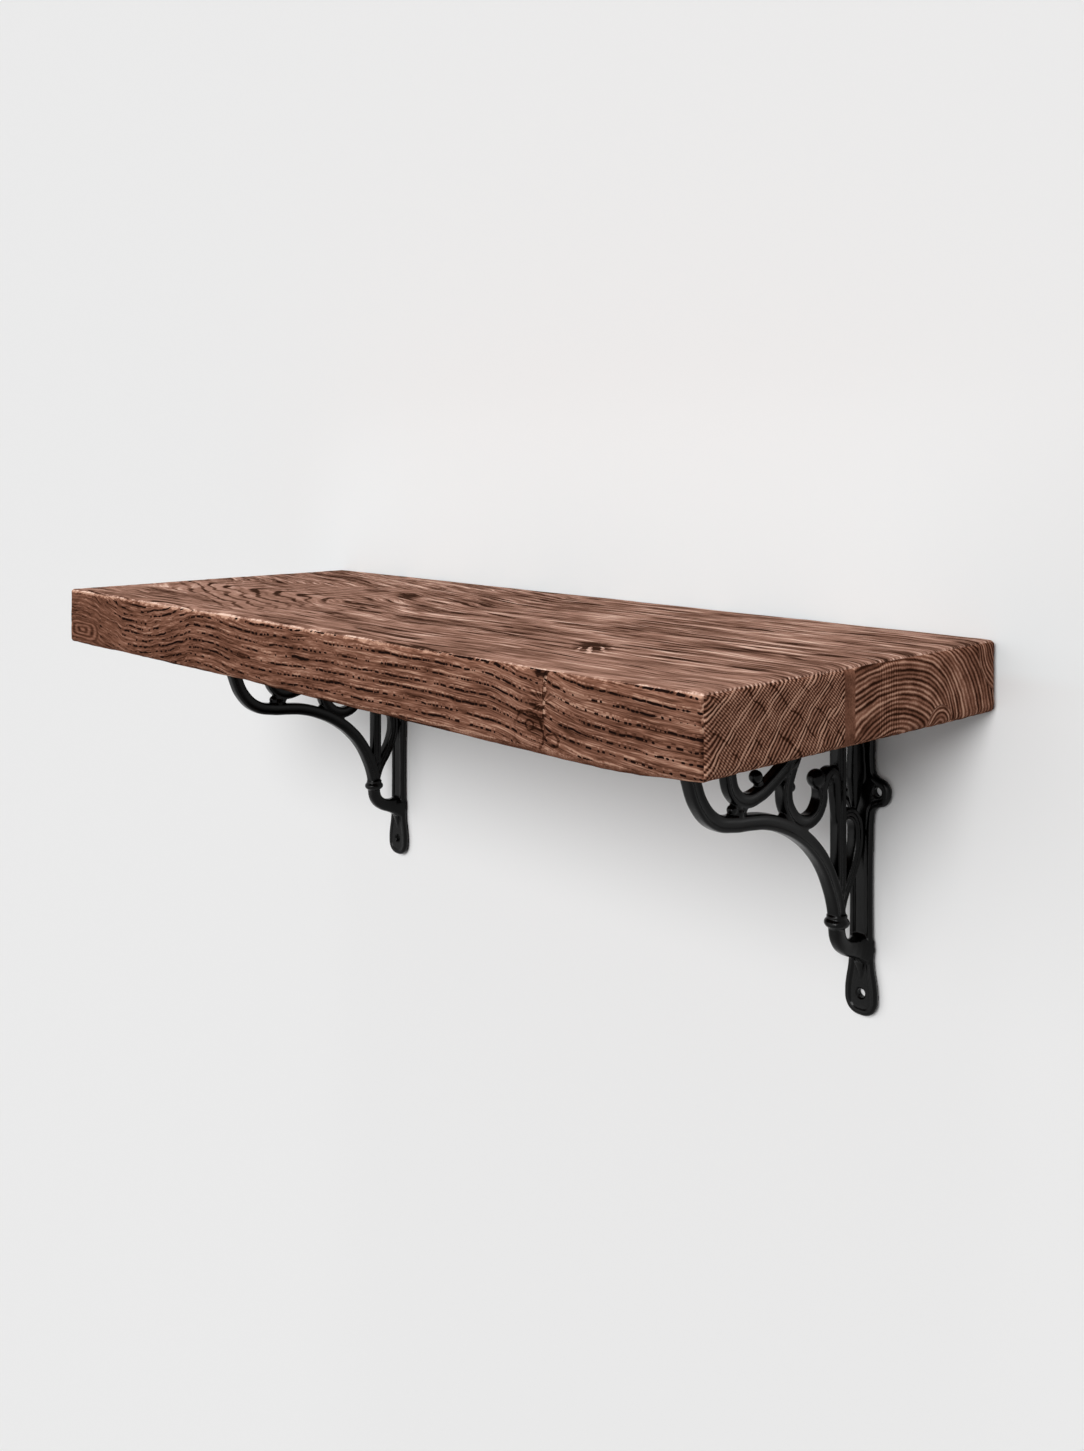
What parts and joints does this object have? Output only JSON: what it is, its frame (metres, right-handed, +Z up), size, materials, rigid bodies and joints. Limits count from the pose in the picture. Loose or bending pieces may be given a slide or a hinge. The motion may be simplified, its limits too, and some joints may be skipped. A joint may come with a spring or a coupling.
{
  "type": "bracketed shelf",
  "caption": "Rustic wall shelf: a thick worn plank, square ended, carried on black cast iron scroll brackets screwed to its underside and to the wall through countersunk holes.",
  "frame": {"origin": "on the wall plane, at the middle of the board's back edge (middle of its length and of its thickness)", "axes": "+X along the board to the right as seen from the room, +Y into the wall, +Z up"},
  "size_m": [0.6, 0.24, 0.223],
  "materials": {
    "stained_plank": "walnut stain under a thin dull wax, worn paler along the edges",
    "black_cast_iron": "satin black paint over a slightly rough casting",
    "dark_screw_steel": "blackened steel wood screws"
  },
  "bodies": {
    "root": {"shelf_board": "stained_plank", "left_bracket": "black_cast_iron", "right_bracket": "black_cast_iron", "left_board_screws": "dark_screw_steel", "right_board_screws": "dark_screw_steel"}
  },
  "joints": []
}
